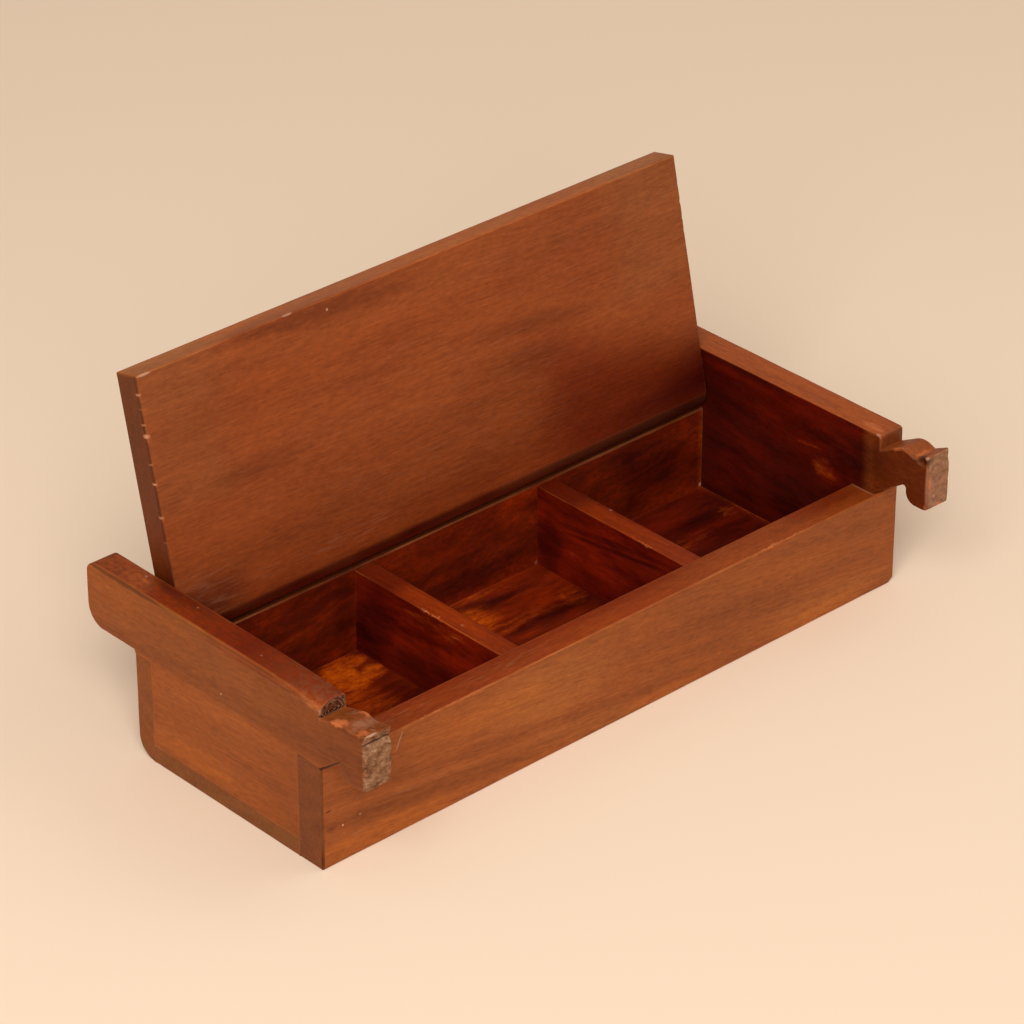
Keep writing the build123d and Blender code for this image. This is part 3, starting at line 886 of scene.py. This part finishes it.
left_end = worked_board("left_end_board", X, gap=0.7 * MM, run_gap=0.8 * MM,
                        worn=wear("left_end_board", base=0.55 * MM, at_ends=left_rail_wear))
right_end = worked_board("right_end_board", X, gap=0.7 * MM, run_gap=0.8 * MM,
                         worn=wear("right_end_board", base=0.55 * MM),
                         outline=shallow_notch(section_of("right_end_board", X)))
reshape(left_end, domed_step)
carve(left_end, left_dents, left_roughness, rough_depth=0.8)
carve(right_end, right_dents, right_roughness, rough_depth=0.28)
for piece, side in ((left_end, -1), (right_end, 1)):
    drill(piece, PIVOT, RAIL_BORE, *(side * end for end in RAIL_BORE_ENDS))
settle(left_end, "left_end_board", "case", hardwood(
    "left_end_wood", Y, cut=(0.2, -0.06, 0.085), tilt=4, tint=(1.04, 1.13, 0.94),
    coats=[
        stain_and_painted_light(SHADED, (RIGHT, -137.35, -137.25), (BACK, -56, -52), (AHEAD, -60, -54), blend="SHADE"),
        stain_and_painted_light((0.84, 0.62, 0.38), RAIL_TOP, (RIGHT, -148.8, -147.8)),
        stain_and_painted_light((1.16, 1.14, 0.98), RAIL_TOP, (BACK, 48, 56)),
        stain_and_painted_light((1.12, 1.12, 1.08), LEFT_FACE, (BACK, 40, 60), (UP, 46, 50)),
        stain_and_painted_light((0.78, 0.52, 0.34), (UP, 68.2, 69.4), (AHEAD, -24, 12), (BACK, -53.3, -52.9)),
        stain_and_painted_light((0.84, 0.85, 0.85), (UP, 44, 47), LEFT_FACE),
        stain_and_painted_light((0.84, 0.8, 0.82), (AHEAD, 8, 42), LEFT_FACE),
        stain_and_painted_light((0.82, 0.52, 0.22), RAIL_TOP, (AHEAD, -53, -44), (BACK, -22, -6),
              (RIGHT, -148.5, -147.7)),
        stain_and_painted_light((0.1, 0.016, 0.003), (UP, 70.7, 71.1), (RIGHT, -148.6, -147.6), blend="RUB",
              strength=0.55),
        stain_and_painted_light((0.3, 0.105, 0.038), (UP, 66.8, 67.6), (AHEAD, 20, 46), (BACK, -53.3, -52.9),
              blend="RUB", strength=0.26),
        stain_and_painted_light((0.74, 0.64, 0.58), (UP, 65.6, 66.6), (AHEAD, 54.2, 55)),
        stain_and_painted_light((0.4, 0.32, 0.24), (AHEAD, 53.2, 53.5), (BACK, -54.6, -54.2), (UP, 65.3, 66))],
    marks={
        "dark": [
            ((-150, 14, 30), (5, 40, 5), 0.15, -4), ((-150, -14, 22), (5, 30, 4), 0.15, -4),
            ((-150, -68, 56), (5, 18, 16), 0.25), ((-139, 38, 71.6), (4, 20, 3), 0.6)],
        "line": [
            # a line of painted shadow under the nose's arch
            ((-150, -58.9, 48), (1.6, 7.2, 0.42), 0.9, -38),
            ((-143.5, -77.2, 64.8), (7.5, 1.8, 0.5), 0.85), ((-149.6, 58, 71.5), (0.8, 24, 0.85), 0.6),
            ((-149.9, 5, 71.2), (0.6, 58, 0.7), 0.3), ((-145, -53.6, 66.2), (5.5, 1.2, 0.9), 0.7)],
        "arcs": [((-143.9, -53.5, 65.6), (7.6, 0.42, 7), 0.5)],
        "warm_tone_and_lit_patch": [((-150, 20, 14), (5, 30, 5), 0.25)],
        "painted_sheen": [((-143, 56, 71.6), (4.5, 7, 2), 0.8)],
        "grey": [((-142.6, -69.6, 68.2), (8, 3, 3), 1)],
        "orange_highlight": [
            ((-148.6, -62, 68.3), (2.6, 6, 2.4), 1), ((-147.6, -74.5, 68.3), (3.2, 3.4, 2), 1),
            ((-149.2, -49.6, 69.4), (1.6, 5, 2.2), 0.65), ((-138.2, -64.5, 68.4), (1.8, 5, 2), 0.85),
            ((-150, -78.6, 56), (1.4, 1.6, 9), 0.8), ((-149.4, -10, 70.9), (1, 50, 1), 0.15)],
        "pale": [
            # The specks on the rail's top and the one by the dome's front arris are painted highlights.
            ((-150, 1.93, 49.8), (0.8, 0.45, 0.45), 0.6), ((-140.1, 56.4, 71.6), (0.5, 0.5, 1), 0.4),
            ((-140.1, 26.2, 71.6), (0.5, 0.5, 1), 0.2), ((-144.1, -14.9, 71.6), (0.5, 0.5, 1), 0.2),
            ((-146.4, -77.6, 68.6), (2.6, 0.5, 0.5), 0.5),
            ((-149.4, -53.5, 67.6), (0.5, 0.6, 1.3), 0.15)]}))
settle(right_end, "right_end_board", "case", hardwood(
    "right_end_wood", Y, cut=(0.71, 0.10, 0.06), tilt=-3, worn_share=0.12,
    coats=[
        # Painted shade over the rail's inner face, darker than inside the bays.
        stain_and_painted_light((0.228, 0.036, 0.001), (LEFT, -137.35, -137.25), (BACK, -54, -44), (AHEAD, -60, -54),
              blend="SHADE"),
        stain_and_painted_light((0.4, 0.28, 0.17), (LEFT, -137.6, -137.3), (AHEAD, 47, 54)),
        stain_and_painted_light((1.22, 1.1, 0.8), (UP, 70.9, 71.3), (BACK, -53.3, -52.8)),
        stain_and_painted_light((0.05, 0.006, 0.0004), (LEFT, -137.6, -137.3), blend="RUB", strength=0.3)],
    marks={
        # The chip near the nose's top, and the face just below it, are darkened with painted shade.
        "line": [((137.8, -76.8, 69.2), (3.2, 4.4, 2.4), 0.55)],
        "dark": [
            ((137.2, -75.6, 70.2), (3, 5.5, 2.4), 1), ((137.2, -50, 60), (3, 14, 8), 0.5),
            ((137.2, 39, 42), (3, 12, 34), 0.5)],
        "warm_tone_and_lit_patch": [
            ((137.2, 10, 67), (2, 50, 2.5), 0.5), ((137.2, -6, 57), (3, 34, 14), 0.7),
            ((137.2, -38, 60), (2, 12, 5), 0.6), ((137.2, -26.5, 43), (2, 7.5, 7.5), 1)],
        "grey": [((143.6, -80.2, 60), (8, 1.4, 14), 0.8)],
        "lit_patch": [
            ((137.2, -25.5, 44.4), (2, 7.8, 6.6), 0.42), ((137.2, -14, 52), (2, 12, 1.2), 0.2, -8)],
        "orange_highlight": [
            ((137.9, -63.5, 70.3), (1.8, 5, 2), 0.95), ((141, -47, 71.6), (3, 7, 2), 0.5),
            ((144, -73.2, 69.4), (7, 2.2, 2), 0.85), ((143, -80.2, 48.6), (7, 1.4, 1.6), 0.85),
            ((139, -80.2, 60), (1.4, 1.4, 5), 0.7)],
        "pale": [
            ((137.9, -53.3, 71.4), (0.7, 1, 0.6), 0.3), ((138.2, -79.2, 71.6), (0.9, 0.9, 0.9), 0.4),
            ((143.6, -80.2, 60), (8, 1.4, 13), 0.12), ((141.8, -80.2, 53.7), (0.7, 0.6, 0.5), 0.35)]}))

# --- Dividers -------------------------------------------------------------------------------
# Two thin boards of the same hardwood across the box, housed between the front and back boards
# and a little lower. Their tops are rubbed, with painted shadow towards the back, and their
# sides carry painted shade over old darkened varnish.
DIVIDER_TOP = (UP, 42.5, 42.8)
DIVIDER_COATS = [
    # painted shade over the sides
    stain_and_painted_light((0.46, 0.09, 0.003), (DOWN, -43.15, -42.7), blend="SHADE"),
    stain_and_painted_light((0.8, 0.4, 0.1), DIVIDER_TOP),
    # painted shadow over the back of the tops
    stain_and_painted_light((0.55, 0.38, 0.18), DIVIDER_TOP, (BACK, 14, 26)),
    stain_and_painted_light((0.4, 0.085, 0.01), (UP, 42.7, 43), (LEFT, 49.7, 50), blend="MIX", strength=0.2),
    stain_and_painted_light((0.4, 0.085, 0.01), (UP, 42.7, 43), (LEFT, -45.7, -45.4), (RIGHT, 45, 45.2), blend="MIX",
          strength=0.2)]
left_divider = worked_board("left_divider", Y, gap=2 * MM, run_gap=1.5 * MM,
                            worn=wear("left_divider", base=0.4 * MM))
settle(left_divider, "left_divider", "case", hardwood(
    "left_divider_wood", Y, cut=(0.05, 0.12, 0.09), coats=DIVIDER_COATS, worn_share=0.1,
    marks={
        "dark": [
            ((-50.2, 32, 24), (3, 14, 18), 1), ((-50.2, 0, 16), (3, 34, 8), 0.7),
            ((-50.2, 8, 30), (3, 30, 1.6), 0.4, -8), ((-49.4, -16, 43.4), (0.5, 12, 1), 0.6)],
        "warm_tone_and_lit_patch": [((-50.2, -6, 34), (3, 30, 11), 1, -6), ((-45, -4, 43.4), (3.5, 30, 2), 0.5)],
        "lit_patch": [((-50.2, -2, 39), (3, 26, 5), 0.36, -4)],
        "orange_highlight": [((-50, -1, 43.2), (0.7, 9, 0.8), 0.9), ((-50.2, -14, 39), (1, 3.2, 0.7), 0.3, -14)],
        "pale": [
            ((-49.8, 3.3, 43.4), (0.4, 1.6, 0.5), 0.14), ((-46.6, -14.5, 43.4), (0.7, 0.8, 0.5), 0.15)]}))
right_divider = worked_board("right_divider", Y, gap=2 * MM, run_gap=1.5 * MM,
                             worn=wear("right_divider", base=0.4 * MM))
settle(right_divider, "right_divider", "case", hardwood(
    "right_divider_wood", Y, cut=(0.44, -0.08, 0.11), coats=DIVIDER_COATS, worn_share=0.1,
    marks={
        "dark": [
            ((45.3, 36, 20), (3, 9, 16), 1), ((45.3, 5, 35), (3, 42, 1.8), 0.8, -7),
            ((45.3, 0, 32.5), (3, 36, 1.2), 0.9, -7), ((53.8, 10, 43.4), (1.2, 22, 1), 0.5),
            ((45.3, 18, 15), (3, 16, 7), 0.5)],
        "warm_tone_and_lit_patch": [
            ((45.3, -4, 38), (3, 22, 6), 1, -5), ((45.3, 8, 22), (2, 20, 11), 0.45, -12),
            ((51, -8, 43.4), (3.5, 32, 2), 0.35)],
        "pale": [((53.8, 9.9, 43.4), (0.6, 0.8, 0.5), 0.2)],
        "orange_highlight": [((45.4, -10, 43.2), (0.7, 16, 0.8), 0.25)],
        "lit_patch": [((45.3, 22, 24), (2, 3.5, 6), 0.22, 20)]}))

# --- Lid ------------------------------------------------------------------------------------
# A thick plank of the same hardwood, planed and oiled, that turns on two wooden pins. Its lower
# front arris is planed to a round, wider at the left, so that it clears the back board, and
# knocks have nicked the upright arrises of its front face.
LID_CORNERS = 4
LID_LEAN = radians(12.4)
LID_UP = (0, sin(LID_LEAN), cos(LID_LEAN))
LID_DOWN = (0, -sin(LID_LEAN), -cos(LID_LEAN))
LID_BACK = (0, cos(LID_LEAN), -sin(LID_LEAN))
ROUND_SLANT = (-0.0029, -sin(LID_LEAN), -cos(LID_LEAN))      # the round narrows to the right
CORNER_SLANT = (0.4, -sin(LID_LEAN), -cos(LID_LEAN))         # towards the lower right corner, for the painted shadow there
DEEP_SLANT = (-0.4, -sin(LID_LEAN), -cos(LID_LEAN))
INSIDE = (LID_BACK, 38, 30)                                  # the face that closes over the bays
ALL_BUT_OUTSIDE = (LID_BACK, 39.3, 38.3)
LID_TOP = 161.93             # mm along LID_UP
LID_HALF = 136.8             # mm, half its length
LID_BORE = 2.52 * MM         # the pins are glued into the lid
LID_BORE_ENDS = 137.8 * MM, 122.4 * MM
ROUND_EXTRA = 7.2            # mm, the round of its lower front arris at the left
ROUND_LESS = 0.8             # mm, and how much less it is at the right
ROUND_TOP = 60 * MM          # that arris lies below this and in front of the next
ROUND_BACK = 48 * MM
ARRIS_FOOT = (38.49, 44.9)   # its front arris in mm, y and z low down and at its top
ARRIS_HEAD = (62.07, 152.15)


def straightened(outline, sides):
    """An outline's longest sides run on to sharp corners, without the small rounds."""
    count = len(outline)
    runs = sorted(range(count), key=lambda i: -(outline[(i + 1) % count] - outline[i]).length)
    runs = sorted(runs[:sides])
    corners = []
    for k, i in enumerate(runs):
        p, q = outline[i], outline[(i + 1) % count]
        j = runs[(k + 1) % sides]
        r, t = outline[j], outline[(j + 1) % count]
        d, e = q - p, t - r
        share = ((r.x - p.x) * e.y - (r.y - p.y) * e.x) / (d.x * e.y - d.y * e.x)
        corners.append(p + d * share)
    return corners


def lid_round(place):
    """The extra round of the lid's lower front arris, wider at the left."""
    if place.z > ROUND_TOP or place.y > ROUND_BACK:
        return 0.0
    share = (place.x / MM + LID_HALF) / (2 * LID_HALF)
    return (ROUND_EXTRA - ROUND_LESS * share) * MM


def edge_nicks(side, heights):
    """Nicks down one end of the lid's front arris, at heights in mm, deeper where it was hit."""
    y, foot = ARRIS_FOOT
    slope = (ARRIS_HEAD[0] - y) / (ARRIS_HEAD[1] - foot)
    return [(Vector((side * LID_HALF, y + (z - foot) * slope, z)) * MM, length * MM, depth * MM)
            for z, length, depth in heights]


left_nicks = edge_nicks(-1, (
    (144.9, 1.5, 0.9), (139.5, 0.8, 0.3), (133.4, 1.1, 0.8), (129.0, 2.2, 1.5), (118.2, 1.0, 0.5),
    (110.6, 1.3, 0.9), (97.6, 1.5, 0.7), (88.0, 0.8, 0.3)))
right_nicks = edge_nicks(1, (
    (140.0, 0.7, 0.3), (133.0, 0.9, 0.5), (126.5, 0.7, 0.4), (121.0, 0.6, 0.3)))
lid = worked_board("lid", X, gap=2 * MM, run_gap=1 * MM,
                   worn=wear("lid", base=0.6 * MM, uneven=0.25,
                             nicks=left_nicks + right_nicks, along=lid_round),
                   outline=straightened(section_of("lid", X), LID_CORNERS))
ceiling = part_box("lid")[1].z
for v in lid.data.vertices:
    v.co.z = min(v.co.z, ceiling)
for side in (-1, 1):
    drill(lid, PIVOT, LID_BORE, *(side * end for end in LID_BORE_ENDS))
settle(lid, "lid", "lid", hardwood(
    "lid_plank_wood", X, cut=(0.9, 0.07, -0.13), tilt=-1, tint=(0.91, 0.83, 0.84), worn_share=0.08,
    coats=[
        stain_and_painted_light((1.52, 1.76, 1.52), (LID_UP, LID_TOP - 0.8, LID_TOP - 0.5)),
        # Painted shade, growing towards the foot of the lid's face.
        stain_and_painted_light((0.84, 0.76, 0.66), (LID_DOWN, -112, -72), INSIDE),
        stain_and_painted_light((0.88, 0.74, 0.48), (LID_DOWN, -80, -64), INSIDE),
        # Painted shadow over the lid's lower right corner, growing towards the right.
        stain_and_painted_light((0.66, 0.4, 0.16), (DEEP_SLANT, -150, -118), (RIGHT, 32, 72), INSIDE),
        stain_and_painted_light((0.36, 0.12, 0.02), (CORNER_SLANT, -40, -12), (RIGHT, 30, 60), (LID_UP, 50, 70), INSIDE),
        # Painted sheen: lighter, greyer zones high on the lid's face.
        stain_and_painted_light((1, 1.2, 1.5), (RIGHT, 85, 112), (LID_UP, 104, 118)),
        stain_and_painted_light((0.94, 1.1, 1.4), (LEFT, 88, 114), (LID_UP, 98, 112)),
        stain_and_painted_light((1, 1.1, 1.3), (LID_UP, 140, 150), strength=0.7),
        # Painted shade over the lid's lower round, redder and less dark at its foot.
        stain_and_painted_light((0.36, 0.11, 0.03), (ROUND_SLANT, -61.8, -59.2), ALL_BUT_OUTSIDE),
        stain_and_painted_light((2.6, 2, 0.6), (ROUND_SLANT, -58.2, -55.5), ALL_BUT_OUTSIDE),
        stain_and_painted_light((0.82, 0.69, 0.32), (LEFT, 136.2, 136.5)),
        stain_and_painted_light((0.68, 0.62, 0.4), (LEFT, 136.2, 136.5), (LID_DOWN, -90, -80)),
        stain_and_painted_light((0.88, 0.82, 0.88), (LID_UP, LID_TOP - 1, LID_TOP - 0.7), (LID_BACK, 28.8, 28.4)),
        stain_and_painted_light((0.52, 0.46, 0.4), (LEFT, 136, 136.4), (LID_BACK, 29, 28.5))],
    marks={
        "dark": [
            ((-46, 62, 148), (60, 8, 4), 0.4, 4), ((-92, 52, 101), (26, 8, 5), 0.35),
            ((58, 56, 109), (38, 8, 5), 0.4, 8), ((44, 50, 97.5), (26, 8, 6), 0.35, 4),
            ((-40, 60, 118), (50, 8, 4), 0.3, 6), ((70, 60, 136), (46, 8, 5), 0.2, 2),
            # painted shade at the lid's lower left corner
            ((-120, 43, 60), (18, 8, 9), 0.65)],
        "scratch": [
            ((-122, 43, 63), (20, 8, 13), 0.2), ((-60, 46, 61), (70, 8, 5), 0.2),
            ((0, 50, 95), (110, 14, 50), 0.08), ((60, 60, 130), (70, 10, 24), 0.08)],
        "pale": [
            ((-132.8, 61.4, 151.9), (3.8, 1, 0.8), 0.5), ((-64.7, 62.3, 151.9), (2.4, 0.6, 0.6), 0.35),
            ((-46, 61, 147.9), (0.5, 1, 0.6), 0.5)],
        "nick": [(tuple(place / MM), (length / MM, 1.8, length / MM * 0.45), depth / MM * 0.8)
                 for place, length, depth in left_nicks + right_nicks]}))

# --- Pivot pins -----------------------------------------------------------------------------
# Two turned pins of the same wood, glued into the lid's ends and free to turn in the rails.
# They show only in the narrow gaps between the lid and the rails.
pin_wood = hardwood("pin_wood", X, cut=(0.4, 0.03, 0.02))
for node in ("left_pivot_pin", "right_pivot_pin"):
    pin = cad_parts[node]
    pin.data.materials.clear()
    pin.data.materials.append(pin_wood)
